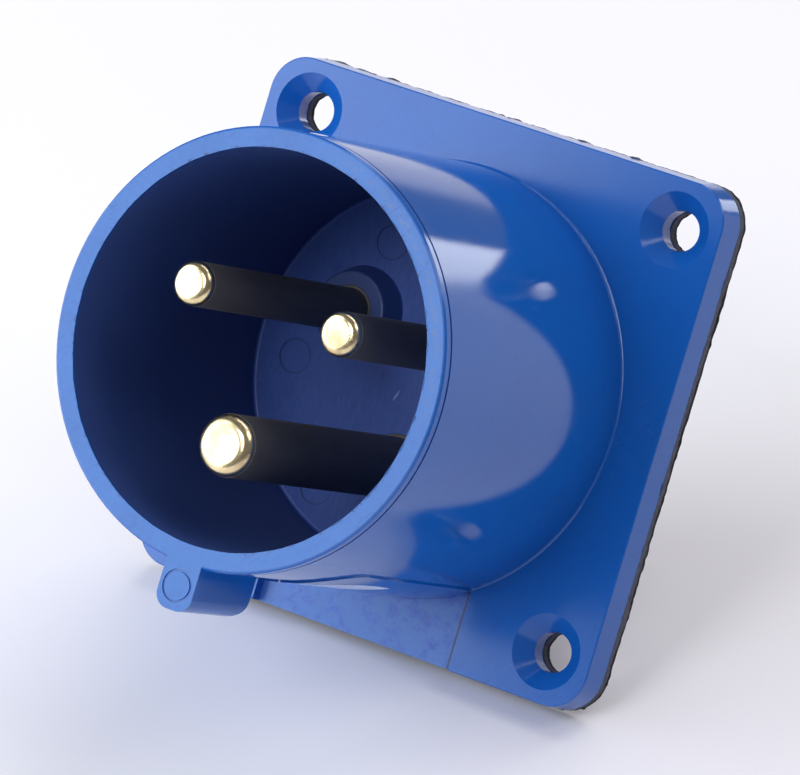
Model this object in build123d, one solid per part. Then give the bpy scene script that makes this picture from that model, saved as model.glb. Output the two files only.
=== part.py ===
from build123d import *
import os
from math import atan2, cos, degrees, radians, sin

# An industrial panel plug: a square flange, a round shroud with a key lug at its mouth, three
# contact pins, and a terminal block behind the panel. All lengths are in millimetres.
# Each piece is drawn with x to the right, y up and z from the panel towards the mouth, where z 0
# is the face that lies on the panel. At the end it is turned so that the mouth faces -Y and +Z
# is up. The origin is the middle of the four screw holes, on the panel.

# Shroud round the pins, a little narrower at its mouth so that it leaves the mould
shroud_height = 40.4
shroud_root_diameter = 49.2
shroud_taper = 0.7
shroud_wall_at_mouth = 2.25
shroud_wall_at_floor = 3.0
shroud_root_fillet = 0.25
rim_bevel = 0.3
rim_line_from_mouth = 1.1
rim_line_width = 0.35
rim_line_depth = 0.12

# Flange round the shroud, and the gasket behind it
flange_margin = 5.9
flange_thickness = 3.6
flange_corner_radius = 4.7
flange_draft = 0.25
flange_edge_bevel = 0.12
hole_to_flange_edge = 6.0
screw_hole_diameter = 4.6
screw_head_diameter = 8.6
screw_head_depth = 1.7
gasket_thickness = 1.5
gasket_overhang = 0.1

# Floor of the cavity, with a collar round each of the two smaller pins
floor_above_flange = 1.3
floor_thickness = 3.0
floor_fillet = 0.4
collar_top_diameter = 8.9
collar_base_diameter = 10.6
collar_height = 3.1
collar_fillet = 0.3
ejector_mark_diameter = 4.0
ejector_mark_depth = 0.08
ejector_mark_places = [(8.8, -15.7), (16.3, -2.4), (8.4, 13.3)]

# Key lug under the mouth, flush with the rim
lug_width = 4.5
lug_height = 4.8
lug_length = 12.3
lug_corner_radius = 1.7
lug_rear_radius = 2.6
lug_mark_diameter = 3.7
lug_mark_from_end = 2.7
lug_mark_depth = 0.15
lug_mark_line = 0.3

# Underside between flange and lug, where a slide of the mould left a step round its edge
slide_width = 26.6
slide_depth_in_flange = 1.3
slide_rise_on_shroud = 0.2
slide_corner_radius = 4.5

# Spigot behind the flange, which passes through the panel
spigot_step = 1.6
spigot_wall = 2.0
spigot_reach = 6.0
spigot_edge_bevel = 0.6
gasket_seat_step = 0.3
key_slot_width = 4.0
key_slot_depth = 1.0
gasket_hole_clearance = 0.3

# Bosses behind the floor that take the block's screws
boss_diameter = 6.2
boss_height = 7.0
boss_from_spigot_bore = 6.6
boss_hole_depth = 6.0

# Contact pins: line and neutral are alike, earth is larger
small_pin_diameter = 5.0
earth_pin_diameter = 7.0
pin_tip_below_rim = 0.7
tip_flat_share = 0.6
small_pin_side = 9.65
small_pin_up = 4.75
earth_pin_down = 10.7
seat_step = 0.3
shoulder_step = 0.8
shoulder_thickness = 2.0
terminal_wall = 1.8
earth_terminal_wall = 2.3
wire_bore_diameter = 4.8
wire_bore_depth = 13.0
barrel_edge_bevel = 0.3
pin_hole_clearance = 0.05

# Terminal block
block_rear = 22.0
block_plate_thickness = 4.0
block_end_wall = 2.2
block_clearance = 0.15
tower_wall = 2.0
tower_edge_fillet = 0.8
wire_entry_diameter = 5.8
wire_funnel_diameter = 7.0
wire_funnel_depth = 1.2
column_wall = 1.2
column_pad_thickness = 2.6
web_thickness = 2.0
web_hub_diameter = 7.0
web_short_of_rear = 3.0

# Screws
terminal_screw_diameter = 3.1
terminal_head_diameter = 5.6
terminal_head_height = 2.0
terminal_head_standoff = 1.0
terminal_screw_from_barrel_end = 6.5
terminal_slot_width = 0.9
block_screw_diameter = 2.9
block_screw_length = 8.0
block_head_diameter = 5.4
block_head_height = 2.0
cross_width = 0.9
cross_span = 3.2
slot_depth = 1.0
screw_tip_bevel = 0.3
screw_head_bevel = 0.4
screw_clearance = 0.05
access_clearance = 0.3

# Heights along z that several pieces share
flange_back = gasket_thickness
flange_front = flange_back + flange_thickness
mouth = flange_front + shroud_height
floor_front = flange_front + floor_above_flange
floor_back = floor_front - floor_thickness
pin_tip = mouth - pin_tip_below_rim
shoulder_back = floor_back - shoulder_thickness
plate_back = floor_back - block_plate_thickness
boss_end = floor_back - boss_height
column_end = boss_end - column_pad_thickness
barrel_end = block_end_wall - block_rear
terminal_screw_height = barrel_end + terminal_screw_from_barrel_end
lug_rear = mouth - lug_length

# Sizes that follow from a neighbour
shroud_mouth_diameter = shroud_root_diameter - shroud_taper
bore_mouth_diameter = shroud_mouth_diameter - 2 * shroud_wall_at_mouth
bore_floor_diameter = shroud_root_diameter - 2 * shroud_wall_at_floor
flange_side = shroud_root_diameter + 2 * flange_margin
hole_spacing = flange_side - 2 * hole_to_flange_edge
lug_reach = shroud_root_diameter / 2 + lug_height
lug_mark_reach = lug_reach - lug_mark_from_end
spigot_diameter = shroud_root_diameter - 2 * spigot_step
spigot_bore_diameter = spigot_diameter - 2 * spigot_wall
boss_circle_radius = spigot_bore_diameter / 2 - boss_from_spigot_bore
gasket_seat_diameter = spigot_diameter + 2 * gasket_seat_step
block_diameter = spigot_bore_diameter - 2 * block_clearance
small_barrel_diameter = wire_bore_diameter + 2 * terminal_wall
earth_barrel_diameter = wire_bore_diameter + 2 * earth_terminal_wall
land_diameter = shroud_root_diameter + 2 * slide_rise_on_shroud
column_diameter = boss_diameter + 2 * block_clearance + 2 * column_wall

# What overshoots a face that it cuts, so that no skin is left
past = 1.0

# Each pin: its place, its diameter, its terminal barrel's diameter and where its seat ends,
# at the top of the collar, or at the floor where there is no collar
collar_top = floor_front + collar_height
pins = {
    "live": ((-small_pin_side, small_pin_up), small_pin_diameter, small_barrel_diameter, collar_top),
    "neutral": ((small_pin_side, small_pin_up), small_pin_diameter, small_barrel_diameter, collar_top),
    "earth": ((0, -earth_pin_down), earth_pin_diameter, earth_barrel_diameter, floor_front),
}


def angle_of(place):
    return degrees(atan2(place[1], place[0]))


# The bosses stand midway between neighbouring pins
earth_to_side = (angle_of(pins["neutral"][0]) + angle_of(pins["earth"][0])) / 2
boss_angles = {"top": 90, "left": 180 - earth_to_side, "right": earth_to_side}
boss_places = {
    name: (boss_circle_radius * cos(radians(angle)), boss_circle_radius * sin(radians(angle)))
    for name, angle in boss_angles.items()
}
screw_places = [
    (side * hole_spacing / 2, up * hole_spacing / 2) for side in (-1, 1) for up in (-1, 1)
]


def bar(diameter, z_low, z_high, place=(0, 0)):
    height = z_high - z_low
    return Pos(place[0], place[1], z_low + height / 2) * Cylinder(diameter / 2, height)


def taper(diameter_low, diameter_high, z_low, z_high, place=(0, 0)):
    height = z_high - z_low
    cone = Cone(diameter_low / 2, diameter_high / 2, height)
    return Pos(place[0], place[1], z_low + height / 2) * cone


def block_between(x_low, x_high, y_low, y_high, z_low, z_high):
    size = Box(x_high - x_low, y_high - y_low, z_high - z_low)
    return Pos((x_low + x_high) / 2, (y_low + y_high) / 2, (z_low + z_high) / 2) * size


def square_plate(side, corner_radius, z_low, z_high):
    outline = Pos(0, 0, z_low) * RectangleRounded(side, side, corner_radius)
    return extrude(outline, z_high - z_low)


def rings_at(solid, z):
    return [edge for edge in solid.edges().filter_by(GeomType.CIRCLE) if abs(edge.center().Z - z) < 0.01]


def outward(solid, place, z):
    # Turns what is drawn along z so that it points away from the middle, out of a pin's axis
    return Pos(place[0], place[1], z) * Rot(0, 0, angle_of(place)) * Rot(0, 90, 0) * solid


# Housing

def flange():
    # Its sides lean inwards towards the front, so that it leaves the mould
    outline = Pos(0, 0, flange_back) * RectangleRounded(flange_side, flange_side, flange_corner_radius)
    plate = extrude(outline, flange_thickness, taper=degrees(atan2(flange_draft, flange_thickness)))
    front = plate.faces().sort_by(Axis.Z)[-1]
    return chamfer(front.edges(), flange_edge_bevel)


def shroud_wall():
    wall = taper(shroud_root_diameter, shroud_mouth_diameter, flange_front, mouth)
    wall = chamfer(rings_at(wall, mouth), rim_bevel)
    line_top = mouth - rim_line_from_mouth
    ring = bar(shroud_root_diameter + past, line_top - rim_line_width, line_top)
    ring -= bar(shroud_mouth_diameter - 2 * rim_line_depth, line_top - rim_line_width, line_top)
    return wall - ring


def slide_strip():
    # The region that the mould's slide shaped, with its two far corners rounded
    strip = block_between(
        -slide_width / 2, slide_width / 2,
        -flange_side / 2 - past, 0,
        flange_front - slide_depth_in_flange, lug_rear,
    )
    far_corners = strip.edges().filter_by(Axis.Y).sort_by(Axis.Z)[-2:]
    return fillet(far_corners, slide_corner_radius)


def with_slide_step(solid):
    # The raised land narrows towards the mouth as the shroud does
    land = taper(land_diameter, land_diameter - shroud_taper, flange_front, mouth)
    land += bar(land_diameter, flange_front - slide_depth_in_flange, flange_front)
    low_strip = block_between(
        -slide_width / 2, slide_width / 2,
        -flange_side / 2 - past, 0,
        flange_front - slide_depth_in_flange, flange_front + 2 * shroud_root_fillet,
    )
    return solid - (low_strip - land) + (land & slide_strip())


def lug():
    top = -shroud_mouth_diameter / 2 + (shroud_mouth_diameter - bore_mouth_diameter) / 4
    front = block_between(-lug_width / 2, lug_width / 2, -lug_reach, top, lug_rear, mouth)
    front = fillet(front.edges().filter_by(Axis.Z).sort_by(Axis.Y)[:2], lug_corner_radius)
    side = block_between(-lug_width, lug_width, -lug_reach, top, lug_rear, mouth)
    rear_edge = side.edges().filter_by(Axis.X).sort_by(Axis.Y)[:2].sort_by(Axis.Z)[0]
    side = fillet(rear_edge, lug_rear_radius)
    mark = bar(lug_mark_diameter, mouth - lug_mark_depth, mouth + past, (0, -lug_mark_reach))
    island = lug_mark_diameter - 2 * lug_mark_line
    mark -= bar(island, mouth - lug_mark_depth, mouth + past, (0, -lug_mark_reach))
    return (front & side) - mark


def cavity():
    hollow = taper(bore_floor_diameter, bore_mouth_diameter, floor_front, mouth)
    return fillet(rings_at(hollow, floor_front), floor_fillet)


def collar(place):
    cone = taper(collar_base_diameter, collar_top_diameter, floor_front, collar_top, place)
    return fillet(rings_at(cone, collar_top), collar_fillet)


def ejector_marks():
    places = [(side * x, y) for side in (-1, 1) for x, y in ejector_mark_places]
    return [bar(ejector_mark_diameter, floor_front - ejector_mark_depth, floor_front, place)
            for place in places]


def screw_hole(place):
    slope = (screw_head_diameter - screw_hole_diameter) / screw_head_depth
    sink = taper(
        screw_hole_diameter, screw_head_diameter + slope * past,
        flange_front - screw_head_depth, flange_front + past, place,
    )
    return sink + bar(screw_hole_diameter, flange_back - past, flange_front, place)


def spigot():
    tube = bar(spigot_diameter, -spigot_reach, flange_back + past)
    tube = chamfer(rings_at(tube, -spigot_reach), spigot_edge_bevel)
    return tube + bar(gasket_seat_diameter, 0, flange_back + past)


def spigot_pocket():
    key_top = spigot_bore_diameter / 2 + key_slot_depth
    slot = block_between(
        -key_slot_width / 2, key_slot_width / 2, 0, key_top, -spigot_reach - past, floor_back
    )
    return bar(spigot_bore_diameter, -spigot_reach - past, floor_back) + slot


def boss(place):
    post = bar(boss_diameter, boss_end, floor_back, place)
    hole = block_screw_diameter + 2 * screw_clearance
    return post - bar(hole, boss_end, boss_end + boss_hole_depth, place)


def housing():
    body = flange() + shroud_wall()
    root = [ring for ring in rings_at(body, flange_front)
            if abs(ring.radius - shroud_root_diameter / 2) < 0.01]
    body = fillet(root, shroud_root_fillet)
    body = with_slide_step(body) + lug() + spigot()
    body -= cavity()
    body -= spigot_pocket()
    for name in ("live", "neutral"):
        body += collar(pins[name][0])
    for place, diameter, _, seat_end in pins.values():
        hole = diameter + 2 * seat_step + 2 * pin_hole_clearance
        body -= bar(hole, floor_back, seat_end + past, place)
    for mark in ejector_marks():
        body -= mark
    for place in boss_places.values():
        body += boss(place)
    for place in screw_places:
        body -= screw_hole(place)
    return body


# Gasket

def panel_gasket():
    side = flange_side + 2 * gasket_overhang
    sheet = square_plate(side, flange_corner_radius + gasket_overhang, 0, gasket_thickness)
    sheet -= bar(gasket_seat_diameter + 2 * gasket_hole_clearance, -past, gasket_thickness + past)
    for place in screw_places:
        sheet -= bar(screw_hole_diameter, -past, gasket_thickness + past, place)
    return sheet


# Contact pins, turned from brass bar

def contact_pin(place, diameter, barrel_diameter, seat_end):
    radius = diameter / 2
    seat = radius + seat_step
    barrel = barrel_diameter / 2
    shoulder = barrel + shoulder_step
    # The tip is a flat disc with a quarter-round edge that runs smoothly into the side
    flat = tip_flat_share * radius
    edge_radius = radius - flat
    edge_start = pin_tip - edge_radius
    side = Polyline(
        (0, barrel_end),
        (barrel - barrel_edge_bevel, barrel_end),
        (barrel, barrel_end + barrel_edge_bevel),
        (barrel, shoulder_back),
        (shoulder, shoulder_back),
        (shoulder, floor_back),
        (seat, floor_back),
        (seat, seat_end),
        (radius, seat_end),
        (radius, edge_start),
    )
    edge = RadiusArc((radius, edge_start), (flat, pin_tip), -edge_radius)
    end_and_axis = Polyline((flat, pin_tip), (0, pin_tip), (0, barrel_end))
    turned = revolve(make_face(Plane.XZ * (side + edge + end_and_axis)), Axis.Z)
    bore_end = barrel_end + wire_bore_depth
    drill = bar(wire_bore_diameter, barrel_end - past, bore_end)
    drill += taper(wire_bore_diameter, wire_bore_diameter / 4, bore_end, bore_end + past)
    pin = Pos(place[0], place[1], 0) * (turned - drill)
    thread = bar(terminal_screw_diameter + 2 * screw_clearance, 0, barrel + past)
    return pin - outward(thread, place, terminal_screw_height)


# Terminal block

def tower_diameter(barrel_diameter):
    return barrel_diameter + 2 * block_clearance + 2 * tower_wall


def tower(place, barrel_diameter):
    solid = bar(tower_diameter(barrel_diameter), -block_rear, floor_back, place)
    return fillet(rings_at(solid, -block_rear), tower_edge_fillet)


def web(place):
    length = Vector(*place).length
    rib = block_between(
        0, length, -web_thickness / 2, web_thickness / 2, web_short_of_rear - block_rear, plate_back
    )
    return Rot(0, 0, angle_of(place)) * rib


def terminal_room(place, barrel_diameter):
    # Everything that is cut out of the block for one pin, its wire and its screw
    barrel_hole = barrel_diameter + 2 * block_clearance
    shoulder_hole = barrel_diameter + 2 * shoulder_step + 2 * block_clearance
    room = bar(barrel_hole, barrel_end - block_clearance, floor_back, place)
    room += bar(shoulder_hole, shoulder_back, floor_back + past, place)
    room += bar(wire_entry_diameter, -block_rear - past, barrel_end, place)
    room += taper(
        wire_funnel_diameter, wire_entry_diameter, -block_rear, wire_funnel_depth - block_rear, place
    )
    access = bar(terminal_head_diameter + 2 * access_clearance, 0, tower_diameter(barrel_diameter))
    return room + outward(access, place, terminal_screw_height)


def column(place):
    return bar(column_diameter, column_end, floor_back, place)


def column_room(place):
    room = bar(boss_diameter + 2 * block_clearance, boss_end - block_clearance, floor_back + past, place)
    return room + bar(block_screw_diameter + 2 * access_clearance, column_end - past, boss_end, place)


def block_key():
    half_width = key_slot_width / 2 - block_clearance
    top = spigot_bore_diameter / 2 + key_slot_depth - block_clearance
    return block_between(-half_width, half_width, 0, top, plate_back, floor_back)


def terminal_block():
    solid = bar(block_diameter, plate_back, floor_back)
    solid += bar(web_hub_diameter, web_short_of_rear - block_rear, floor_back)
    for place, _, barrel_diameter, _ in pins.values():
        solid += tower(place, barrel_diameter) + web(place)
    for place in boss_places.values():
        solid += column(place)
    # Nothing but the key stands outside the round that passes through the panel
    solid = solid & bar(block_diameter, -block_rear, floor_back)
    solid += block_key()
    for place, _, barrel_diameter, _ in pins.values():
        solid -= terminal_room(place, barrel_diameter)
    for place in boss_places.values():
        solid -= column_room(place)
    return solid


# Screws

def terminal_screw(place, barrel_diameter):
    tip = wire_bore_diameter / 2
    under_head = barrel_diameter / 2 + terminal_head_standoff
    top = under_head + terminal_head_height
    shank = bar(terminal_screw_diameter, tip, under_head)
    shank = chamfer(rings_at(shank, tip), screw_tip_bevel)
    head = bar(terminal_head_diameter, under_head, top)
    head = chamfer(rings_at(head, top), screw_head_bevel)
    half_slot = terminal_slot_width / 2
    slot = block_between(
        -terminal_head_diameter, terminal_head_diameter, -half_slot, half_slot, top - slot_depth, top + past
    )
    return outward(shank + head - slot, place, terminal_screw_height)


def block_screw(place):
    top = column_end - block_head_height
    shank_end = column_end + block_screw_length
    shank = bar(block_screw_diameter, column_end, shank_end, place)
    shank = chamfer(rings_at(shank, shank_end), screw_tip_bevel)
    head = bar(block_head_diameter, top, column_end, place)
    head = chamfer(rings_at(head, top), screw_head_bevel)
    half_span = cross_span / 2
    half_width = cross_width / 2
    one_way = block_between(-half_span, half_span, -half_width, half_width, top - past, top + slot_depth)
    cross = Pos(place[0], place[1], 0) * (one_way + Rot(0, 0, 90) * one_way)
    return shank + head - cross


# All the pieces by name

def all_pieces():
    pieces = {
        "housing": housing(),
        "panel_gasket": panel_gasket(),
        "terminal_block": terminal_block(),
    }
    for name, (place, diameter, barrel_diameter, seat_end) in pins.items():
        pieces[name + "_pin"] = contact_pin(place, diameter, barrel_diameter, seat_end)
        pieces[name + "_terminal_screw"] = terminal_screw(place, barrel_diameter)
    for name, place in boss_places.items():
        pieces["block_screw_" + name] = block_screw(place)
    return pieces


os.makedirs("parts", exist_ok=True)
for name, piece in all_pieces().items():
    # The mouth turns to face -Y and the top of the flange to +Z
    export_step(Rot(90, 0, 0) * piece, "parts/" + name + ".step")
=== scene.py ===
import bpy
from math import cos, hypot, pi, radians, sin
from mathutils import Matrix, Vector, noise


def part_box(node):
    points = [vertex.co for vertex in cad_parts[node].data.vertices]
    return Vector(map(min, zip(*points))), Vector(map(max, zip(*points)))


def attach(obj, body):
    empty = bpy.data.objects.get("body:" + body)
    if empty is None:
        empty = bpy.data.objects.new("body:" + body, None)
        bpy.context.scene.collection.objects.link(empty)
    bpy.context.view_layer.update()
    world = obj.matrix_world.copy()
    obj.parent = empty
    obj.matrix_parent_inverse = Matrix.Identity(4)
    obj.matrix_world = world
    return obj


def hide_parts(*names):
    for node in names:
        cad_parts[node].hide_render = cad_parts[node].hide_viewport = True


# A blue panel plug on a pale table, leaning back on the rear edge of its flange.
# Metres, in the part's own frame: the mouth looks to -Y and the top of the flange is +Z.

mm = 0.001

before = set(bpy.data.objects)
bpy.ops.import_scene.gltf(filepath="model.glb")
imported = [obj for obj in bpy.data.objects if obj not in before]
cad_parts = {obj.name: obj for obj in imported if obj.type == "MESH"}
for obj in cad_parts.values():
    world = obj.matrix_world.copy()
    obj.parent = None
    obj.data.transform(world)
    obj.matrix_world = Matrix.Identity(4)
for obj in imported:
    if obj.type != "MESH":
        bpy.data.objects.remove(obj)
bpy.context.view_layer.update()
scene = bpy.context.scene
scene.view_settings.view_transform = "Standard"


# Small helpers

weldDistance = 0.002 * mm


def toolsDown():
    if bpy.context.object and bpy.context.object.mode != "OBJECT":
        bpy.ops.object.mode_set(mode="OBJECT")
    bpy.ops.object.select_all(action="DESELECT")


def pickUp(piece):
    # Leaves the piece active and alone in the selection
    toolsDown()
    piece.select_set(True)
    bpy.context.view_layer.objects.active = piece


def linear(red, green, blue):
    # A colour picked on a screen, 0 to 255, as the shader wants it
    parts = [value / 255 for value in (red, green, blue)]
    return [p / 12.92 if p <= 0.04045 else ((p + 0.055) / 1.055) ** 2.4 for p in parts] + [1]


def settle(piece, name):
    # Puts the place and turn into the mesh, so the object sits at the origin
    pickUp(piece)
    bpy.ops.object.transform_apply(location=True, rotation=True, scale=True)
    piece.name = name
    piece.data.name = name
    return piece


def modify(piece, kind, **settings):
    # Adds a modifier and applies it at once
    pickUp(piece)
    modifier = piece.modifiers.new(kind.title(), kind)
    for setting, value in settings.items():
        setattr(modifier, setting, value)
    bpy.ops.object.modifier_apply(modifier=modifier.name)


def cutAway(piece, cutter):
    modify(piece, "BOOLEAN", operation="DIFFERENCE", solver="EXACT", object=cutter)
    bpy.data.objects.remove(cutter)


def editEdges(piece, wanted):
    # Opens edit mode with only the wanted edges selected
    pickUp(piece)
    bpy.ops.object.mode_set(mode="EDIT")
    bpy.ops.mesh.select_mode(type="EDGE")
    bpy.ops.mesh.select_all(action="DESELECT")
    bpy.ops.object.mode_set(mode="OBJECT")
    points = [vertex.co for vertex in piece.data.vertices]
    for edge in piece.data.edges:
        edge.select = wanted(points[edge.vertices[0]], points[edge.vertices[1]])
    bpy.ops.object.mode_set(mode="EDIT")


def joinPieces(main, *others):
    toolsDown()
    for piece in (main, *others):
        piece.select_set(True)
    bpy.context.view_layer.objects.active = main
    bpy.ops.object.join()


def faceOutwards(piece):
    editEdges(piece, lambda a, b: True)
    bpy.ops.mesh.remove_doubles(threshold=weldDistance)
    bpy.ops.mesh.normals_make_consistent(inside=False)
    bpy.ops.object.mode_set(mode="OBJECT")


def smooth(piece, angle):
    pickUp(piece)
    bpy.ops.object.shade_smooth_by_angle(angle=radians(angle))


def cylinder(radius, low, high, sides):
    # A closed cylinder along Z from low to high
    bpy.ops.mesh.primitive_cylinder_add(
        vertices=sides, radius=radius, depth=high - low, location=(0, 0, (low + high) / 2)
    )
    return bpy.context.object


def block(size, middle):
    bpy.ops.mesh.primitive_cube_add(size=1, location=middle, scale=size)
    return bpy.context.object


# Node helpers

def fillSockets(tree, node, values):
    # values are sockets by name or number: a plain value, or another node's output
    for socket, value in values.items():
        if isinstance(value, bpy.types.NodeSocket):
            tree.links.new(value, node.inputs[socket])
        else:
            node.inputs[socket].default_value = value


def addNode(tree, kind, values=None, **settings):
    node = tree.nodes.new("ShaderNode" + kind)
    for setting, value in settings.items():
        setattr(node, setting, value)
    fillSockets(tree, node, values or {})
    return node


def maths(tree, operation, first, second=0.0, third=0.0, clamp=False):
    node = addNode(tree, "Math", {0: first, 1: second, 2: third}, operation=operation, use_clamp=clamp)
    return node.outputs[0]


def times(tree, first, *others):
    for other in others:
        first = maths(tree, "MULTIPLY", first, other)
    return first


def ramp(tree, value, start, end):
    # From 0 at start to 1 at end, and level beyond them
    node = addNode(tree, "MapRange", {"Value": value, "From Min": start, "From Max": end})
    return node.outputs[0]


def band(tree, value, low, high, fade):
    # 1 between low and high, fading out over fade at each end
    return times(tree, ramp(tree, value, low - fade, low), ramp(tree, value, high + fade, high))


def inMillimetres(tree, vector):
    return addNode(tree, "VectorMath", {0: vector, "Scale": 1 / mm}, operation="SCALE").outputs[0]


def nearLine(tree, vector, start, end, width):
    # 1 along the line between two points, thinning out towards both of its ends. The 4 is because
    # share times the rest is a quarter halfway.
    start, end = Vector(start) * mm, Vector(end) * mm
    run = end - start
    fromStart = addNode(tree, "VectorMath", {0: vector, 1: start}, operation="SUBTRACT")
    along = addNode(tree, "VectorMath", {0: fromStart.outputs[0], 1: run / run.length_squared},
                    operation="DOT_PRODUCT")
    share = maths(tree, "ADD", along.outputs["Value"], 0.0, clamp=True)
    nearest = addNode(tree, "VectorMath", {0: run, "Scale": share}, operation="SCALE")
    gap = addNode(tree, "VectorMath", {0: fromStart.outputs[0], 1: nearest.outputs[0]},
                  operation="DISTANCE")
    fromEnds = times(tree, share, maths(tree, "SUBTRACT", 1.0, share))
    return maths(tree, "LESS_THAN", gap.outputs["Value"], times(tree, fromEnds, 4 * width * mm))


def spotDistance(tree, vector, places):
    # Millimetres from the nearest of the places
    gaps = []
    for spot in places:
        gap = addNode(tree, "VectorMath", {0: vector, 1: Vector(spot) * mm}, operation="DISTANCE")
        gaps.append(maths(tree, "DIVIDE", gap.outputs["Value"], mm))
    nearest = gaps[0]
    for gap in gaps[1:]:
        nearest = maths(tree, "MINIMUM", nearest, gap)
    return nearest


def mixColour(tree, factor, first, second):
    # Of a mix node's sockets, 6 and 7 are its colours and output 2 is the mixed colour
    node = addNode(tree, "Mix", {0: factor, 6: first, 7: second}, data_type="RGBA")
    return node.outputs[2]


def newGroup(name, inputs, outputs):
    # A group with named sockets: inputs are name, kind and default, outputs are name and kind
    group = bpy.data.node_groups.new(name, "ShaderNodeTree")
    for socketName, kind, default in inputs:
        socket = group.interface.new_socket(socketName, in_out="INPUT", socket_type="NodeSocket" + kind)
        if default is not None:
            socket.default_value = default
    for socketName, kind in outputs:
        group.interface.new_socket(socketName, in_out="OUTPUT", socket_type="NodeSocket" + kind)
    start = group.nodes.new("NodeGroupInput")
    end = group.nodes.new("NodeGroupOutput")
    return group, start.outputs, end.inputs


def useGroup(tree, group, values):
    node = tree.nodes.new("ShaderNodeGroup")
    node.node_tree = group
    fillSockets(tree, node, values)
    return node.outputs


# Camera, fitted to the rims, the pins and the flange in the photograph

cameraFit = {
    "lens": 342.26,
    "sensor": 36,
    "clipStart": 0.01,
    "place": (0.407151, -0.753663, 0.063739),
    "turn": (85.400, -16.695, 30.035),
}


def addCamera():
    camera = bpy.data.objects.new("photoCamera", bpy.data.cameras.new("photoCamera"))
    scene.collection.objects.link(camera)
    camera.data.lens = cameraFit["lens"]
    camera.data.sensor_width = cameraFit["sensor"]
    camera.data.clip_start = cameraFit["clipStart"]
    camera.location = cameraFit["place"]
    camera.rotation_euler = [radians(angle) for angle in cameraFit["turn"]]
    scene.camera = camera
    bpy.context.view_layer.update()
    return camera


camera = addCamera()
print("camera placed")


# Table and light. The plug leans back on the lower rear edge of its flange and on the rear end
# of its terminal block, so the table is tilted in the part's frame.

tableTop = {
    "lean": 30.93,
    "below": 26.4 * mm,
    "behind": 0.75,
    "front": 1.6,
    "width": 3.2,
    "colour": (240, 236, 240),
    "shade": (214, 214, 228),
    "shadeShare": 0.02,
    "clouds": {"Scale": 9.0, "Detail": 3.0},
    "roughness": 0.55,
}
# Angles in degrees as tableDirection takes them, sizes in metres, power in watts
lamps = {
    "leftWindow": {"azimuth": -87, "elevation": 21, "distance": 0.8, "width": 0.62, "height": 0.9,
                   "roll": 27, "power": 7.0, "colour": (240, 252, 255)},
    "frontFill": {"azimuth": -38, "elevation": 40, "distance": 1.0, "width": 0.35, "height": 0.35,
                  "roll": 0, "power": 3.0, "colour": (250, 252, 255)},
    "topPanel": {"azimuth": 140, "elevation": 55, "distance": 1.6, "width": 1.1, "height": 1.1,
                 "roll": 0, "power": 12.5, "colour": (252, 252, 255)},
    "skylight": {"azimuth": 64, "elevation": 52, "distance": 0.9, "width": 0.38, "height": 0.38,
                 "roll": 0, "power": 1.25, "colour": (250, 252, 255)},
    "rearPanel": {"azimuth": 134, "elevation": 3, "distance": 1.0, "width": 0.30, "height": 0.22,
                  "roll": 0, "power": 0.72, "colour": (250, 252, 255)},
}
# How the room looks to the camera, how strong it is as light, and how strong in mirror images
room = {"seen": (247, 246, 249), "colour": (248, 248, 255), "ambient": 0.30, "gloss": 0.20}


def tableUp():
    lean = radians(tableTop["lean"])
    return Vector((0, -sin(lean), cos(lean)))


def tableDirection(azimuth, elevation):
    # Azimuth from the camera's side of the table, to the right, as the camera sees it
    up = tableUp()
    back = camera.matrix_world.to_quaternion() @ Vector((0, 0, 1))
    towards = (back - back.dot(up) * up).normalized()
    right = up.cross(towards)
    turn = radians(azimuth)
    level = cos(turn) * towards + sin(turn) * right
    return cos(radians(elevation)) * level + sin(radians(elevation)) * up


def addLamp(name, values):
    lamp = bpy.data.lights.new(name, "AREA")
    lamp.shape = "RECTANGLE"
    lamp.size = values["width"]
    lamp.size_y = values["height"]
    lamp.energy = values["power"]
    lamp.color = linear(*values["colour"])[:3]
    holder = bpy.data.objects.new(name, lamp)
    scene.collection.objects.link(holder)
    direction = tableDirection(values["azimuth"], values["elevation"])
    holder.location = direction * values["distance"]
    level = tableUp().cross(direction).normalized()
    roll = radians(values["roll"])
    across = cos(roll) * level + sin(roll) * direction.cross(level)
    upwards = direction.cross(across)
    holder.rotation_euler = Matrix((across, upwards, direction)).transposed().to_euler()
    holder.visible_camera = False


def addTable():
    lean = radians(tableTop["lean"])
    depth = tableTop["front"] + tableTop["behind"]
    away = Vector((0, cos(lean), sin(lean)))
    middle = -tableTop["below"] * tableUp() + (tableTop["behind"] - depth / 2) * away
    bpy.ops.mesh.primitive_plane_add(size=1, location=middle, rotation=(lean, 0, 0))
    table = bpy.context.object
    table.scale = (tableTop["width"], depth, 1)
    settle(table, "tableTop")
    return table


def addRoom():
    world = bpy.data.worlds.new("studio")
    scene.world = world
    world.use_nodes = True
    tree = world.node_tree
    tree.nodes.clear()
    rays = addNode(tree, "LightPath").outputs
    seen = maths(tree, "MAXIMUM", rays["Is Camera Ray"], rays["Is Transmission Ray"])
    # Of a mix node's sockets, 2 and 3 are its plain values
    strength = addNode(tree, "Mix", {0: rays["Is Glossy Ray"], 2: room["ambient"], 3: room["gloss"]})
    around = addNode(tree, "Background", {"Color": linear(*room["colour"]),
                                          "Strength": strength.outputs[0]})
    backdrop = addNode(tree, "Background", {"Color": linear(*room["seen"])})
    pick = addNode(tree, "MixShader", {0: seen, 1: around.outputs[0], 2: backdrop.outputs[0]})
    addNode(tree, "OutputWorld", {"Surface": pick.outputs[0]})


table = addTable()
for lampName, lampValues in lamps.items():
    addLamp(lampName, lampValues)
addRoom()
print("table, lamps and room ready")


# Shared effects

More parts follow.
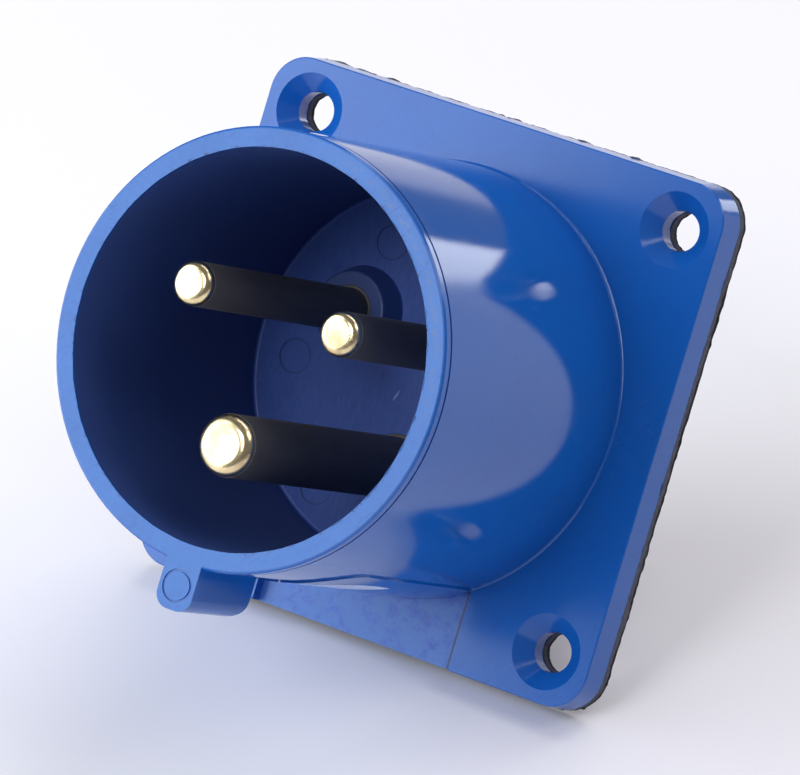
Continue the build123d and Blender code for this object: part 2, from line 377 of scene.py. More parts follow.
def buildPlugPlace():
    # Where a point is on the plug, in millimetres: out from the axis, in front of the panel,
    # to the right and up
    tree, given, result = newGroup(
        "plugPlace", [("Vector", "Vector", None)],
        [("Radius", "Float"), ("Height", "Float"), ("Across", "Float"), ("Up", "Float")],
    )
    parts = addNode(tree, "SeparateXYZ", {0: inMillimetres(tree, given["Vector"])}).outputs
    squares = maths(tree, "ADD", times(tree, parts[0], parts[0]), times(tree, parts[2], parts[2]))
    tree.links.new(maths(tree, "SQRT", squares), result["Radius"])
    tree.links.new(times(tree, parts[1], -1.0), result["Height"])
    tree.links.new(parts[0], result["Across"])
    tree.links.new(parts[2], result["Up"])
    return tree


grainPatches = (0.45, 0.65)


def buildMouldGrain():
    # The fine sandy grain and slow tone changes of a moulded face
    tree, given, result = newGroup(
        "mouldGrain",
        [("Vector", "Vector", None), ("Grain Size", "Float", 0.2), ("Cloud Size", "Float", 9.0)],
        [("Height", "Float"), ("Tone", "Float"), ("Patches", "Float")],
    )
    fine = addNode(tree, "TexNoise", {"Vector": given["Vector"], "Detail": 2.0, "Roughness": 0.6,
                                      "Scale": maths(tree, "DIVIDE", 1 / mm, given["Grain Size"])})
    slow = addNode(tree, "TexNoise", {"Vector": given["Vector"], "Detail": 3.0, "Roughness": 0.55,
                                      "Scale": maths(tree, "DIVIDE", 1 / mm, given["Cloud Size"])})
    tree.links.new(fine.outputs[0], result["Height"])
    tree.links.new(slow.outputs[0], result["Tone"])
    tree.links.new(ramp(tree, slow.outputs[0], *grainPatches), result["Patches"])
    return tree


# Limits and edges are noise values, and patchScale is the noise's scale per millimetre
scuffShape = {
    "turns": ((0.3, 0.9, 0.2), (0.7, -0.5, 1.1)),
    "lineLimits": (0.70, 0.76),
    "patchScale": 0.11,
    "patchStart": 0.75,
    "patchDrop": 0.5,
    "patchEdge": 0.12,
}


def buildScuffs():
    # Thin straight scuffs in two directions, gathered in patches
    shape = scuffShape
    tree, given, result = newGroup(
        "scuffs",
        [("Vector", "Vector", None), ("Length", "Float", 3.0), ("Width", "Float", 0.12),
         ("Amount", "Float", 0.4)],
        [("Mask", "Float")],
    )
    scaled = inMillimetres(tree, given["Vector"])
    stretch = addNode(tree, "CombineXYZ", {0: maths(tree, "DIVIDE", 1.0, given["Length"]),
                                           1: maths(tree, "DIVIDE", 1.0, given["Width"]),
                                           2: maths(tree, "DIVIDE", 1.0, given["Width"])})
    lines = []
    for turn in shape["turns"]:
        turned = addNode(tree, "Mapping", {"Vector": scaled, "Rotation": turn})
        drawn = addNode(tree, "VectorMath", {0: turned.outputs[0], 1: stretch.outputs[0]},
                        operation="MULTIPLY")
        streaks = addNode(tree, "TexNoise", {"Vector": drawn.outputs[0], "Scale": 1.0, "Detail": 0.0})
        lines.append(ramp(tree, streaks.outputs[0], *shape["lineLimits"]))
    spread = addNode(tree, "TexNoise", {"Vector": scaled, "Scale": shape["patchScale"], "Detail": 1.0})
    # The more scuffs are wanted, the lower the noise from which a patch starts
    drop = times(tree, given["Amount"], shape["patchDrop"])
    edge = maths(tree, "SUBTRACT", shape["patchStart"], drop)
    patches = ramp(tree, spread.outputs[0], edge, maths(tree, "ADD", edge, shape["patchEdge"]))
    both = maths(tree, "MAXIMUM", *lines)
    tree.links.new(times(tree, both, patches), result["Mask"])
    return tree


# The cell of a speck, and the outside and inside of its soft edge, in speck sizes
speckShape = {"cell": 5.0, "outside": 0.5, "inside": 0.35}


def buildSpecks():
    # Sparse specks of dust and tiny pits
    shape = speckShape
    tree, given, result = newGroup(
        "specks",
        [("Vector", "Vector", None), ("Size", "Float", 0.12), ("Density", "Float", 0.1)],
        [("Mask", "Float")],
    )
    cells = addNode(tree, "TexVoronoi", {
        "Vector": given["Vector"],
        "Scale": maths(tree, "DIVIDE", 1 / (shape["cell"] * mm), given["Size"]),
    })
    dot = ramp(tree, cells.outputs["Distance"], shape["outside"] / shape["cell"],
               shape["inside"] / shape["cell"])
    chance = addNode(tree, "SeparateColor", {"Color": cells.outputs["Color"]})
    kept = maths(tree, "LESS_THAN", chance.outputs[0], given["Density"])
    tree.links.new(times(tree, dot, kept), result["Mask"])
    return tree


def buildTurning():
    # The fine rings that a lathe leaves round a piece that lies along Y
    tree, given, result = newGroup(
        "turning", [("Vector", "Vector", None), ("Pitch", "Float", 0.1)], [("Height", "Float")]
    )
    parts = addNode(tree, "SeparateXYZ", {0: inMillimetres(tree, given["Vector"])})
    rings = addNode(tree, "TexNoise", {"W": maths(tree, "DIVIDE", parts.outputs[1], given["Pitch"]),
                                       "Scale": 1.0, "Detail": 2.0}, noise_dimensions="1D")
    tree.links.new(rings.outputs[0], result["Height"])
    return tree


plugPlace = buildPlugPlace()
mouldGrain = buildMouldGrain()
scuffs = buildScuffs()
specks = buildSpecks()
turning = buildTurning()
print("shared effects ready")


# Materials. What a look holds: colours as picked on a screen, the shared effects with their sizes
# in millimetres, noise with the two limits between which it becomes a mask, and the bump as
# strength and height in millimetres.

def newMaterial(name, effects):
    # A material with its shared effects in place
    material = bpy.data.materials.new(name)
    material.use_nodes = True
    tree = material.node_tree
    tree.nodes.clear()
    vector = addNode(tree, "TexCoord").outputs["Object"]
    made = {effect: useGroup(tree, group, {"Vector": vector, **values})
            for effect, (group, values) in effects.items()}
    return material, tree, vector, made


def noiseMask(tree, vector, values, limits):
    noisy = addNode(tree, "TexNoise", {"Vector": vector, **values})
    return ramp(tree, noisy.outputs[0], *limits)


def stretched(tree, vector, scale):
    return addNode(tree, "Mapping", {"Vector": vector, "Scale": scale}).outputs[0]


def finishMaterial(material, look, relief, values):
    # The bump, the shader and the output that every piece ends with
    tree = material.node_tree
    strength, distance = look["bump"]
    bump = addNode(tree, "Bump", {"Strength": strength, "Distance": distance * mm, "Height": relief})
    shader = addNode(tree, "BsdfPrincipled", {**values, "Normal": bump.outputs[0]})
    addNode(tree, "OutputMaterial", {"Surface": shader.outputs[0]})
    return material


housingLook = {
    "body": (16, 82, 165),
    "lighter": (22, 94, 180),
    "worn": (112, 150, 214),
    "rimFace": (74, 120, 188),
    "recess": (72, 118, 194),
    "mottle": (6, 58, 176),
    "stain": (26, 70, 156),
    # foot darkens the rim's nicks and the ejector rings, and is the painted shadow at the foot of the
    # recess's step
    "foot": (8, 26, 70),
    "rimDirt": (112, 122, 140),
    "smudge": (28, 56, 122),
    # The cavity's walls get painted shade under a pale haze of painted light, and its floor a lighter blue
    # that is painted light
    "cavity": (58, 74, 128),
    "cavityFloor": (50, 84, 172),
    "rubbed": (18, 28, 74),
    # A white streak painted under the shroud as a highlight
    "paintedHighlight": (250, 252, 255),
    "scratch": (132, 156, 212),
    "roughness": 0.13,
    "toneRoughness": 0.03,
    "bump": (0.12, 0.02),
    "ior": 1.5,
}
housingEffects = {
    "grain": (mouldGrain, {"Grain Size": 0.13, "Cloud Size": 11.0}),
    "scuffs": (scuffs, {"Length": 2.2, "Width": 0.08, "Amount": 0.35}),
    "smudges": (scuffs, {"Length": 1.5, "Width": 0.35, "Amount": 0.62}),
    "dust": (specks, {"Size": 0.14, "Density": 0.05}),
    "flecks": (specks, {"Size": 0.07, "Density": 0.16}),
}
rimStains = {"Scale": 1300.0, "Detail": 5.0, "Roughness": 0.72}
housingNoise = {
    "mottle": ({"Scale": 560.0, "Detail": 7.0, "Roughness": 0.72, "Distortion": 0.25}, (0.49, 0.66)),
    "strokes": ({"Scale": 1.0, "Detail": 3.0, "Roughness": 0.7}, (0.40, 0.75)),
    "stains": (rimStains, (0.46, 0.68)),
    "chips": (rimStains, (0.58, 0.62)),
}
strokeStretch = (3600.0, 300.0, 420.0)
# Where each kind of face lies, in millimetres: for each coordinate its lowest and highest value,
# and the width over which the mask fades out
rimHeight = (45.4, 46.5, 0.05)
housingZones = {
    "rimFace": {"Height": rimHeight},
    "wornRing": {"Height": rimHeight, "Radius": (22.8, 23.3, 0.4), "Across": (6, 40, 6), "Up": (3, 40, 6)},
    "nicks": {"Height": rimHeight, "Radius": (21.8, 22.2, 0.05)},
    "cavityFloor": {"Height": (6.1, 6.6, 0.1), "Radius": (-1, 21.5, 0.2)},
    "inCavity": {"Height": (6.1, 45.0, 0.3), "Radius": (-1, 22.1, 0.1)},
    "shroudWall": {"Height": (5.6, 45.2, 0.3), "Radius": (23.9, 25.3, 0.1)},
    "flangeSide": {"Height": (0.5, 4.95, 0.05), "Radius": (25.2, 60, 0.1)},
    "recess": {"Height": (3.5, 4.1, 0.1), "Across": (-13.3, 13.3, 0.05), "Up": (-40, -20, 0.5)},
    # A painted shadow at the foot of the recess's step
    "recessFootShadow": {"Across": (12.4, 13.35, 0.08)},
}
# A fine line round each ejector mark on the cavity's floor, and a rubbed spot there: the places,
# and as above the least and greatest distance from them and the fade
floorSpots = {
    "circles": (((-8.4, -6.4, 13.3), (8.4, -6.4, 13.3), (-16.3, -6.4, -2.4), (16.3, -6.4, -2.4),
                 (-8.8, -6.4, -15.7), (8.8, -6.4, -15.7)), (1.88, 2.02, 0.08)),
    "rubbed": (((-5.0, -6.4, -0.8),), (-1, 0.6, 2)),
}
# A painted highlight on the underside of the shroud and a scratch on the cavity's floor
paleLines = {
    "paintedHighlight": {"start": (5.0, -33.4, -24.0), "end": (10.6, -18.6, -22.3), "width": 2.4},
    "scratch": {"start": (-2.57, -6.4, -3.62), "end": (-2.06, -6.4, -2.17), "width": 0.12},
}
wear = {"scuffs": 0.10, "dust": 0.35, "patches": 0.16, "smudges": 0.2}
# The layers over the moulding's own colour, lowest first: where, how strong and which colour
housingLayers = (
    # Painted shade under a pale haze on the cavity's walls, and painted light on its floor
    ("inCavity", 0.85, "cavity"),
    ("cavityFloor", 0.75, "cavityFloor"),
    ("brushed", 0.36, "recess"),
    ("recess", 0.55, "recess"),
    ("mottled", 0.7, "mottle"),
    ("rimFace", 0.6, "rimFace"),
    ("stained", 0.22, "stain"),
    ("wornRing", 0.55, "rimDirt"),
    ("nicks", 0.6, "foot"),
    ("circles", 0.35, "foot"),
    ("rubbed", 0.7, "rubbed"),
    ("worn", 1.0, "worn"),
    # The white painted highlight under the shroud
    ("paintedHighlight", 1.0, "paintedHighlight"),
    ("scratch", 1.0, "scratch"),
    ("grime", 1.0, "smudge"),
    ("flecks", 0.4, "worn"),
    # The painted shadow at the foot of the recess's step
    ("recessFootShadow", 0.8, "foot"),
)
# The roughness of each kind of face, the last one that fits wins, and how far a mask lies below
# the grain
housingRoughness = (
    ("shroudWall", 0.075), ("flangeSide", 0.12), ("rimFace", 0.46), ("recess", 0.36),
    ("inCavity", 0.4), ("brushed", 0.5), ("scuffed", 0.25),
)
housingRelief = (("scuffed", 0.8), ("mottled", 0.4), ("brushed", 1.0))


def housingMasks(tree, vector, effects):
    place = useGroup(tree, plugPlace, {"Vector": vector})
    masks = {name: times(tree, *[band(tree, place[side], *limits) for side, limits in sides.items()])
             for name, sides in housingZones.items()}
    for name, (spots, limits) in floorSpots.items():
        masks[name] = band(tree, spotDistance(tree, vector, spots), *limits)
    for name, line in paleLines.items():
        masks[name] = nearLine(tree, vector, line["start"], line["end"], line["width"])

    # The slide of the mould left a duller, mottled strip on the flange below the shroud, and a
    # painted shadow darkens the foot of the step beside it
    masks["mottled"] = times(tree, masks["recess"], noiseMask(tree, vector, *housingNoise["mottle"]))
    masks["recessFootShadow"] = times(tree, masks["recessFootShadow"], masks["recess"])

    # The floor of the cavity is scuffed up and down by mating connectors
    strokes = noiseMask(tree, stretched(tree, vector, strokeStretch), *housingNoise["strokes"])
    masks["brushed"] = times(tree, masks["cavityFloor"], strokes)
    masks["rubbed"] = times(tree, masks["rubbed"], strokes)

    # Handling stained the rim, wore its middle and left small nicks along its inner edge
    stains = noiseMask(tree, vector, *housingNoise["stains"])
    masks["stained"] = times(tree, masks["rimFace"], stains)
    masks["wornRing"] = times(tree, masks["wornRing"], stains)
    masks["nicks"] = times(tree, masks["nicks"], noiseMask(tree, vector, *housingNoise["chips"]))

    masks["scuffed"] = effects["scuffs"]["Mask"]
    masks["worn"] = maths(tree, "MAXIMUM", times(tree, masks["scuffed"], wear["scuffs"]),
                          times(tree, effects["dust"]["Mask"], wear["dust"]))
    masks["grime"] = maths(tree, "ADD", times(tree, effects["grain"]["Patches"], wear["patches"]),
                           times(tree, effects["smudges"]["Mask"], wear["smudges"]))
    masks["flecks"] = times(tree, effects["flecks"]["Mask"], masks["shroudWall"])
    return masks


def paintHousing():
    look = housingLook
    material, tree, vector, effects = newMaterial("bluePlastic", housingEffects)
    masks = housingMasks(tree, vector, effects)
    grain = effects["grain"]
    colour = mixColour(tree, grain["Tone"], linear(*look["body"]), linear(*look["lighter"]))
    for mask, amount, tone in housingLayers:
        colour = mixColour(tree, times(tree, masks[mask], amount), colour, linear(*look[tone]))
    roughness = maths(tree, "MULTIPLY_ADD", grain["Tone"], look["toneRoughness"], look["roughness"])
    for mask, target in housingRoughness:
        step = maths(tree, "SUBTRACT", target, roughness)
        roughness = maths(tree, "MULTIPLY_ADD", masks[mask], step, roughness)
    relief = grain["Height"]
    for mask, depth in housingRelief:
        relief = maths(tree, "SUBTRACT", relief, times(tree, masks[mask], depth))
    return finishMaterial(material, look, relief, {"Base Color": colour, "Roughness": roughness,
                                                   "IOR": look["ior"]})


brassLook = {
    "colour": (236, 216, 172),
    "tarnish": (138, 112, 74),
    "tarnishShare": 0.55,
    "clouds": ({"Scale": 420.0, "Detail": 4.0, "Roughness": 0.6}, (0.42, 0.72)),
    "shank": (84, 84, 86),
    "shankStreak": (104, 100, 96),
    "shankHeight": (2.0, 43.5, 0.35),
    "streakStretch": (4200.0, 120.0, 4200.0),
    "streaks": {"Scale": 1.0, "Detail": 2.0},
    "roughness": 0.19,
    "tarnishRoughness": 0.08,
    "scuffRoughness": 0.15,
    "shankRoughness": 0.32,
    "shankMetal": -0.7,
    "bump": (0.3, 0.012),
}
brassEffects = {
    "rings": (turning, {"Pitch": 0.05}),
    "scuffs": (scuffs, {"Length": 1.6, "Width": 0.06, "Amount": 0.6}),
}


def paintBrass():
    look = brassLook
    material, tree, vector, effects = newMaterial("turnedBrass", brassEffects)
    dull = noiseMask(tree, vector, *look["clouds"])
    colour = mixColour(tree, times(tree, dull, look["tarnishShare"]), linear(*look["colour"]),
                       linear(*look["tarnish"]))

    # Between collar and tip the pins are darkened, with streaks along them
    place = useGroup(tree, plugPlace, {"Vector": vector})
    shank = band(tree, place["Height"], *look["shankHeight"])
    lengthways = stretched(tree, vector, look["streakStretch"])
    streaks = addNode(tree, "TexNoise", {"Vector": lengthways, **look["streaks"]})
    darkened = mixColour(tree, streaks.outputs[0], linear(*look["shank"]), linear(*look["shankStreak"]))
    colour = mixColour(tree, shank, colour, darkened)

    roughness = look["roughness"]
    for mask, share in ((dull, look["tarnishRoughness"]),
                        (effects["scuffs"]["Mask"], look["scuffRoughness"]),
                        (shank, look["shankRoughness"])):
        roughness = maths(tree, "MULTIPLY_ADD", mask, share, roughness)
    metal = maths(tree, "MULTIPLY_ADD", shank, look["shankMetal"], 1.0)
    relief = maths(tree, "SUBTRACT", effects["rings"]["Height"], effects["scuffs"]["Mask"])
    return finishMaterial(material, look, relief, {"Base Color": colour, "Metallic": metal,
                                                   "Roughness": roughness})


blockLook = {
    "body": (42, 43, 46),
    "lighter": (58, 59, 62),
    "worn": (120, 120, 124),
    "scuffShare": 0.4,
    "dustShare": 0.6,
    "roughness": 0.48,
    "toneRoughness": 0.1,
    "bump": (0.35, 0.04),
    "ior": 1.5,
}
blockEffects = {
    "grain": (mouldGrain, {"Grain Size": 0.25, "Cloud Size": 7.0}),
    "scuffs": (scuffs, {"Length": 2.2, "Width": 0.1, "Amount": 0.6}),
    "dust": (specks, {"Size": 0.13, "Density": 0.08}),
}


def paintBlock():
    look = blockLook
    material, tree, vector, effects = newMaterial("blackPlastic", blockEffects)
    grain, marks = effects["grain"], effects["scuffs"]["Mask"]
    colour = mixColour(tree, grain["Patches"], linear(*look["body"]), linear(*look["lighter"]))
    worn = maths(tree, "MAXIMUM", times(tree, marks, look["scuffShare"]),
                 times(tree, effects["dust"]["Mask"], look["dustShare"]))
    colour = mixColour(tree, worn, colour, linear(*look["worn"]))
    roughness = maths(tree, "MULTIPLY_ADD", grain["Tone"], look["toneRoughness"], look["roughness"])
    relief = maths(tree, "SUBTRACT", grain["Height"], marks)
    return finishMaterial(material, look, relief, {"Base Color": colour, "Roughness": roughness,
                                                   "IOR": look["ior"]})


screwLook = {
    "colour": (196, 196, 190),
    "dull": (140, 138, 128),
    "roughness": 0.3,
    "toneRoughness": 0.15,
    "bump": (0.2, 0.01),
}
screwEffects = {
    "grain": (mouldGrain, {"Grain Size": 0.15, "Cloud Size": 2.0}),
    "scuffs": (scuffs, {"Length": 1.2, "Width": 0.06, "Amount": 0.8}),
}


def paintScrew():
    look = screwLook
    material, tree, vector, effects = newMaterial("platedSteel", screwEffects)
    grain = effects["grain"]
    colour = mixColour(tree, grain["Patches"], linear(*look["colour"]), linear(*look["dull"]))
    roughness = maths(tree, "MULTIPLY_ADD", grain["Tone"], look["toneRoughness"], look["roughness"])
    relief = maths(tree, "SUBTRACT", grain["Height"], effects["scuffs"]["Mask"])
    return finishMaterial(material, look, relief, {"Base Color": colour, "Metallic": 1.0,
                                                   "Roughness": roughness})


# Towards the front face the foam turns dark, down to a wandering height in millimetres
foamLook = {
    "body": (70, 74, 90),
    "lighter": (96, 98, 112),
    "skin": (22, 22, 26),
    "dust": (120, 120, 124),
    "dustShare": 0.3,
    "skinLimits": (0.9, 0.7),
    "skinWander": 0.6,
    "cell": 0.35,
    "roughness": 0.9,
    "bump": (0.9, 0.15),
    "ior": 1.4,
}
foamEffects = {
    "grain": (mouldGrain, {"Grain Size": 0.12, "Cloud Size": 4.0}),
    "dust": (specks, {"Size": 0.2, "Density": 0.1}),
}


def paintFoam():
    look = foamLook
    material, tree, vector, effects = newMaterial("gasketFoam", foamEffects)
    cells = addNode(tree, "TexVoronoi", {"Vector": vector, "Scale": 1 / (look["cell"] * mm)})
    depth = cells.outputs["Distance"]
    colour = mixColour(tree, depth, linear(*look["body"]), linear(*look["lighter"]))
    place = useGroup(tree, plugPlace, {"Vector": vector})
    wander = maths(tree, "MULTIPLY_ADD", effects["grain"]["Tone"], look["skinWander"], place["Height"])
    colour = mixColour(tree, ramp(tree, wander, *look["skinLimits"]), colour, linear(*look["skin"]))
    dust = times(tree, effects["dust"]["Mask"], look["dustShare"])
    colour = mixColour(tree, dust, colour, linear(*look["dust"]))
    relief = maths(tree, "SUBTRACT", effects["grain"]["Height"], depth)
    return finishMaterial(material, look, relief, {"Base Color": colour, "Roughness": look["roughness"],
                                                   "IOR": look["ior"]})


def paintTable():
    # Seen from below, as when the camera goes behind the plug, the table isn't there
    look = tableTop
    material, tree, vector, effects = newMaterial("paleTable", {})
    clouds = addNode(tree, "TexNoise", {"Vector": vector, **look["clouds"]})
    colour = mixColour(tree, times(tree, clouds.outputs[0], look["shadeShare"]),
                       linear(*look["colour"]), linear(*look["shade"]))
    shader = addNode(tree, "BsdfPrincipled", {"Base Color": colour, "Roughness": look["roughness"]})
    clear = addNode(tree, "BsdfTransparent")
    rays = addNode(tree, "LightPath")
    side = addNode(tree, "NewGeometry")
    hidden = times(tree, side.outputs["Backfacing"], rays.outputs["Is Camera Ray"])
    pick = addNode(tree, "MixShader", {0: hidden, 1: shader.outputs[0], 2: clear.outputs[0]})
    addNode(tree, "OutputMaterial", {"Surface": pick.outputs[0]})
    return material


bluePlastic = paintHousing()
turnedBrass = paintBrass()
blackPlastic = paintBlock()
platedSteel = paintScrew()
gasketFoam = paintFoam()


def dress(piece, material):
    piece.data.materials.clear()
    piece.data.materials.append(material)


dress(table, paintTable())
dress(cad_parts["housing"], bluePlastic)
dress(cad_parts["terminal_block"], blackPlastic)
for pinName in ("live_pin", "neutral_pin", "earth_pin"):
    dress(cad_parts[pinName], turnedBrass)
print("materials on the solids")


# Foam gasket, cut by hand and torn a little along its edge

gasketShape = {
    "cornerRadius": 4.8 * mm,
    "cornerSteps": 18,
    "outlineSteps": 90,
    "layers": 5,
    "shortEdge": 0.5 * mm,
    "longEdge": 20 * mm,
    "centreHole": 23.6 * mm,
    "centreSteps": 160,
    "screwHole": 2.3 * mm,
    "screwSteps": 48,
    "holeSpacing": 49 * mm,
    "cutterReach": 5 * mm,
    "inset": 0.17 * mm,
    "edgeWidth": 0.01 * mm,
    "wave": 0.09 * mm,
    "waveNoise": {"stretch": 0.5, "scale": 900, "shift": (0, 0, 0)},
    "tear": 0.22 * mm,
    "tearShare": 1.6,
    "tearFrom": 0.12,
    "tearNoise": {"stretch": 1.4, "scale": 420, "shift": (7, 3, 1)},
    "flickFrom": 0.05,
    "flickNoise": {"stretch": 2, "scale": 1700, "shift": (2, 9, 4)},
    "holeReach": 1.02,
    "holeWave": 0.18 * mm,
    "holeWaveScale": 1900,
    "holeWaveShare": 0.6,
    "holeInset": 0.4,
}


def outlineDistance(x, z, half, radius):
    # How far a point is inside the rounded square, and which way is out
    dx = abs(x) - (half - radius)
    dz = abs(z) - (half - radius)
    if dx > 0 and dz > 0:
        out = Vector((dx, 0, dz)).normalized()
        inside = radius - hypot(dx, dz)
    elif dx > dz:
        out = Vector((1, 0, 0))
        inside = radius - dx
    else:
        out = Vector((0, 0, 1))
        inside = radius - dz
    out.x = out.x if x >= 0 else -out.x
    out.z = out.z if z >= 0 else -out.z
    return inside, out


def foamNoise(point, values):
    # stretch is how much faster the noise changes through the foam than along it
    x, y, z = point
    return noise.noise(Vector((x, y * values["stretch"], z)) * values["scale"] + Vector(values["shift"]))


def outlineReach(point):
    # How far the outline stands out at a point: it wanders a little everywhere and is torn in places
    shape = gasketShape
    wander = foamNoise(point, shape["waveNoise"]) * shape["wave"]
    torn = max(0, foamNoise(point, shape["tearNoise"]) - shape["tearFrom"])
    flick = max(0, foamNoise(point, shape["flickNoise"]) - shape["flickFrom"])
    bits = torn * shape["tearShare"] * shape["tear"] + flick * shape["tear"]
    return wander + bits - shape["inset"]


def makeGasket():
    shape = gasketShape
    low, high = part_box("panel_gasket")
    half = high.x
    gasket = block(high - low, (low + high) / 2)
    settle(gasket, "foam_gasket")

    editEdges(gasket, lambda a, b: abs(a.y - b.y) > shape["shortEdge"])
    bpy.ops.mesh.bevel(offset=shape["cornerRadius"], segments=shape["cornerSteps"], affect="EDGES")
    editEdges(gasket, lambda a, b: abs(a.y - b.y) > shape["shortEdge"])
    bpy.ops.mesh.subdivide(number_cuts=shape["layers"])
    editEdges(gasket, lambda a, b: (a - b).length > shape["longEdge"])
    bpy.ops.mesh.subdivide(number_cuts=shape["outlineSteps"])
    bpy.ops.object.mode_set(mode="OBJECT")

    aside = shape["holeSpacing"] / 2
    screwHoles = [(x * aside, z * aside, shape["screwHole"], shape["screwSteps"])
                  for x in (-1, 1) for z in (-1, 1)]
    for x, z, radius, steps in [(0, 0, shape["centreHole"], shape["centreSteps"]), *screwHoles]:
        cutter = cylinder(radius, -shape["cutterReach"], shape["cutterReach"], steps)
        cutter.rotation_euler = (pi / 2, 0, 0)
        cutter.location = (x, 0, z)
        cutAway(gasket, settle(cutter, "holeCutter"))

    for vertex in gasket.data.vertices:
        x, y, z = vertex.co
        inside, out = outlineDistance(x, z, half, shape["cornerRadius"])
        if inside < shape["edgeWidth"]:
            vertex.co += out * outlineReach((x, y, z))
        for holeX, holeZ, radius, steps in screwHoles:
            fromHole = Vector((x - holeX, 0, z - holeZ))
            if fromHole.length < radius * shape["holeReach"]:
                ragged = noise.noise(vertex.co * shape["holeWaveScale"]) * shape["holeWaveShare"]
                inwards = ragged - shape["holeInset"]
                vertex.co += fromHole.normalized() * inwards * shape["holeWave"]
    faceOutwards(gasket)
    dress(gasket, gasketFoam)
    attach(gasket, "root")
    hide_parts("panel_gasket")
    return gasket


makeGasket()
print("foam gasket cut")


# A trace of mould flash round the inner edge of the mouth. It rises and dips with coarse and
# fine noise, and leans inwards a little in places.

flashShape = {
    "radius": 21.99 * mm,
    "mouth": -45.5 * mm,
    "steps": 420,
    "reach": 0.09 * mm,
    "root": 0.25 * mm,
    "thickness": 0.05 * mm,
    "coarseScale": 800,
    "fineScale": 2600,
    "fineShare": 0.6,
    "gain": 1.8,
    "deepest": -0.4,
    "leanScale": 500,
    "leanShift": (5, 5, 5),
    "lean": 0.003,
    "smoothAngle": 40,
}


def makeFlash():
    shape = flashShape
    flash = cylinder(shape["radius"], -shape["root"], shape["reach"], shape["steps"])
    editEdges(flash, lambda a, b: True)
    bpy.ops.mesh.select_mode(type="FACE")
    bpy.ops.object.mode_set(mode="OBJECT")
    for face in flash.data.polygons:
        face.select = abs(face.normal.z) > 0.5
    bpy.ops.object.mode_set(mode="EDIT")
    bpy.ops.mesh.delete(type="ONLY_FACE")
    bpy.ops.object.mode_set(mode="OBJECT")
    for vertex in flash.data.vertices:
        if vertex.co.z > 0:
            coarse = noise.noise(vertex.co * shape["coarseScale"])
            bumpiness = coarse + shape["fineShare"] * noise.noise(vertex.co * shape["fineScale"])
            vertex.co.z = shape["reach"] * max(shape["deepest"], min(1, bumpiness * shape["gain"]))
            leaning = noise.noise(vertex.co * shape["leanScale"] + Vector(shape["leanShift"]))
            inwards = 1 - shape["lean"] * max(0, leaning)
            vertex.co.x *= inwards
            vertex.co.y *= inwards
    flash.rotation_euler = (pi / 2, 0, 0)
    flash.location = (0, shape["mouth"], 0)
    settle(flash, "mouth_flash")
    faceOutwards(flash)
    modify(flash, "SOLIDIFY", thickness=shape["thickness"], offset=1)
    faceOutwards(flash)
    smooth(flash, shape["smoothAngle"])
    dress(flash, bluePlastic)
    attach(flash, "root")
    return flash


makeFlash()
print("mouth flash added")


# Screws with their threads and drives

terminalScrew = {
    "shank": 1.55 * mm, "core": 1.22 * mm, "pitch": 0.5 * mm,
    "head": 2.8 * mm, "headHeight": 2.0 * mm, "headBevel": 0.35 * mm,
    "slot": 0.9 * mm, "slotDepth": 1.0 * mm,
    "tip": 2.4 * mm, "standoff": 1.0 * mm, "axisHeight": 13.3 * mm,
    "barrels": {"live": 4.2 * mm, "neutral": 4.2 * mm, "earth": 4.7 * mm},
}
blockScrew = {
    "shank": 1.45 * mm, "core": 1.08 * mm, "pitch": 0.9 * mm,
    "head": 2.7 * mm, "headHeight": 2.0 * mm, "headBevel": 0.9 * mm,
    "cross": 0.9 * mm, "crossSpan": 3.2 * mm, "crossDepth": 1.2 * mm,
    "crossTaper": (0.45, 0.6), "length": 8.0 * mm,
}
# What all six share. halfWidth is a share of the pitch.
screwShape = {
    "sink": 0.05 * mm, "halfWidth": 0.46, "threadSteps": 22,
    "coreSides": 40, "tipBevel": 0.3 * mm, "tipSteps": 2,
    "headSides": 56, "headSteps": 5, "edgeWidth": 0.01 * mm,
    "intoHead": 0.1 * mm, "smoothAngle": 32,
}


def makeThread(values, start, end, name):
    # A three-sided ridge wound round a core, both closed
    shape = screwShape
    core, pitch = values["core"], values["pitch"]
    turns = int((end - start) / pitch) - 1
    bpy.ops.mesh.primitive_circle_add(vertices=3, radius=1, fill_type="NOTHING")
    ridge = bpy.context.object
    foot = core - shape["sink"]
    corners = ((foot, shape["halfWidth"]), (foot, -shape["halfWidth"]), (values["shank"], 0))
    for vertex, (outwards, along) in zip(ridge.data.vertices, corners):
        vertex.co = (outwards, 0, start + pitch * (0.5 + along))
    modify(ridge, "SCREW", axis="Z", angle=2 * pi, screw_offset=pitch, iterations=turns,
           steps=shape["threadSteps"], render_steps=shape["threadSteps"], use_merge_vertices=False)
    editEdges(ridge, lambda a, b: True)
    bpy.ops.mesh.select_mode(type="VERT")
    bpy.ops.mesh.select_all(action="DESELECT")
    bpy.ops.mesh.select_non_manifold()
    bpy.ops.mesh.edge_face_add()
    bpy.ops.object.mode_set(mode="OBJECT")
    faceOutwards(ridge)
    body = cylinder(core, start, end, shape["coreSides"])
    bottom = start + shape["edgeWidth"]
    editEdges(body, lambda a, b: a.z < bottom and b.z < bottom)
    bpy.ops.mesh.bevel(offset=shape["tipBevel"], segments=shape["tipSteps"], affect="EDGES")
    bpy.ops.object.mode_set(mode="OBJECT")
    joinPieces(body, ridge)
    body.name = name
    return body


def makeHead(values, low):
    shape = screwShape
    head = cylinder(values["head"], low, low + values["headHeight"], shape["headSides"])
    top = low + values["headHeight"] - shape["edgeWidth"]
    editEdges(head, lambda a, b: a.z > top and b.z > top)
    bpy.ops.mesh.bevel(offset=values["headBevel"], segments=shape["headSteps"], affect="EDGES")
    bpy.ops.object.mode_set(mode="OBJECT")
    return head


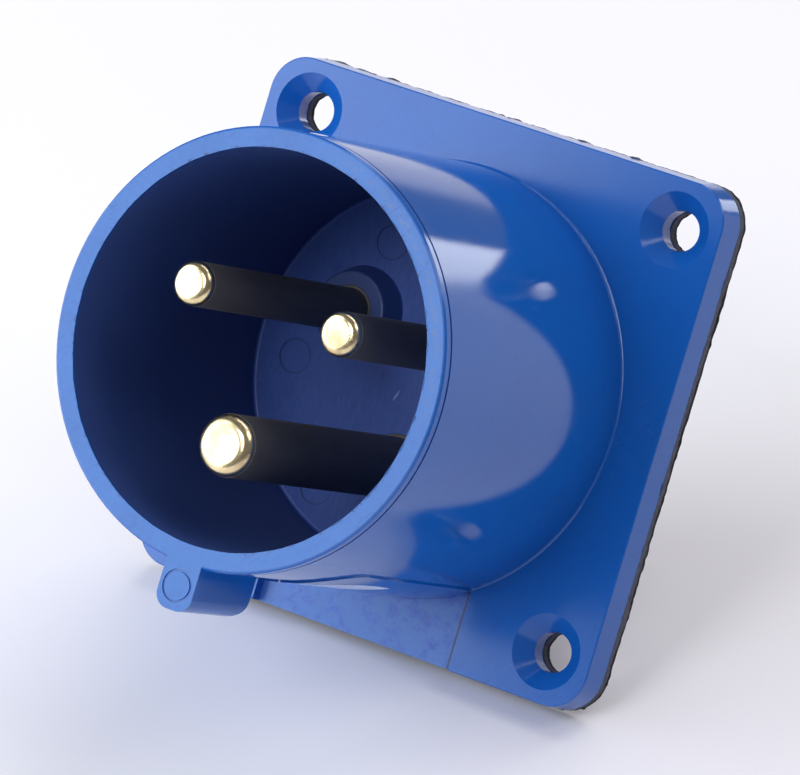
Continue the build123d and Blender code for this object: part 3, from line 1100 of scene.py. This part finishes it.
def finishScrew(head, shank, matrix, name, node):
    joinPieces(head, shank)
    head.matrix_world = matrix
    settle(head, name)
    smooth(head, screwShape["smoothAngle"])
    dress(head, platedSteel)
    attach(head, "root")
    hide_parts(node)


def pinPlace(name):
    low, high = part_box(name + "_pin")
    return (low.x + high.x) / 2, (low.z + high.z) / 2


def makeTerminalScrews():
    values = terminalScrew
    for pin, barrel in values["barrels"].items():
        underHead = barrel + values["standoff"]
        head = makeHead(values, underHead)
        top = underHead + values["headHeight"]
        slot = block((3 * values["head"], values["slot"], 2 * values["slotDepth"]), (0, 0, top))
        cutAway(head, settle(slot, "slotCutter"))
        shank = makeThread(values, values["tip"], underHead + screwShape["intoHead"], pin + "Shank")
        x, z = pinPlace(pin)
        out = Vector((x, 0, z)).normalized()
        along = Vector((0, 1, 0))
        turn = Matrix((along, out.cross(along), out)).transposed().to_4x4()
        place = Matrix.Translation((x, values["axisHeight"], z)) @ turn
        finishScrew(head, shank, place, pin + "_clamp_screw", pin + "_terminal_screw")


def makeBlockScrews():
    values = blockScrew
    taperAlong, taperAcross = values["crossTaper"]
    for side in ("top", "left", "right"):
        low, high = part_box("block_screw_" + side)
        head = makeHead(values, 0)
        for turn in (0, pi / 2):
            arm = block((values["crossSpan"], values["cross"], 2 * values["crossDepth"]),
                        (0, 0, values["headHeight"]))
            settle(arm, "crossCutter")
            for vertex in arm.data.vertices:
                if vertex.co.z < values["headHeight"]:
                    vertex.co.x *= taperAlong
                    vertex.co.y *= taperAcross
            arm.rotation_euler = (0, 0, turn)
            cutAway(head, settle(arm, "crossCutter"))
        shank = makeThread(values, -values["length"], screwShape["intoHead"], side + "Shank")
        middle = (low + high) / 2
        # The head looks to +Y, out of the rear of the block
        place = Matrix.Translation((middle.x, high.y - values["headHeight"], middle.z))
        place = place @ Matrix.Rotation(-pi / 2, 4, "X")
        finishScrew(head, shank, place, "block_fixing_" + side, "block_screw_" + side)


makeTerminalScrews()
makeBlockScrews()
print("screws threaded")


toolsDown()
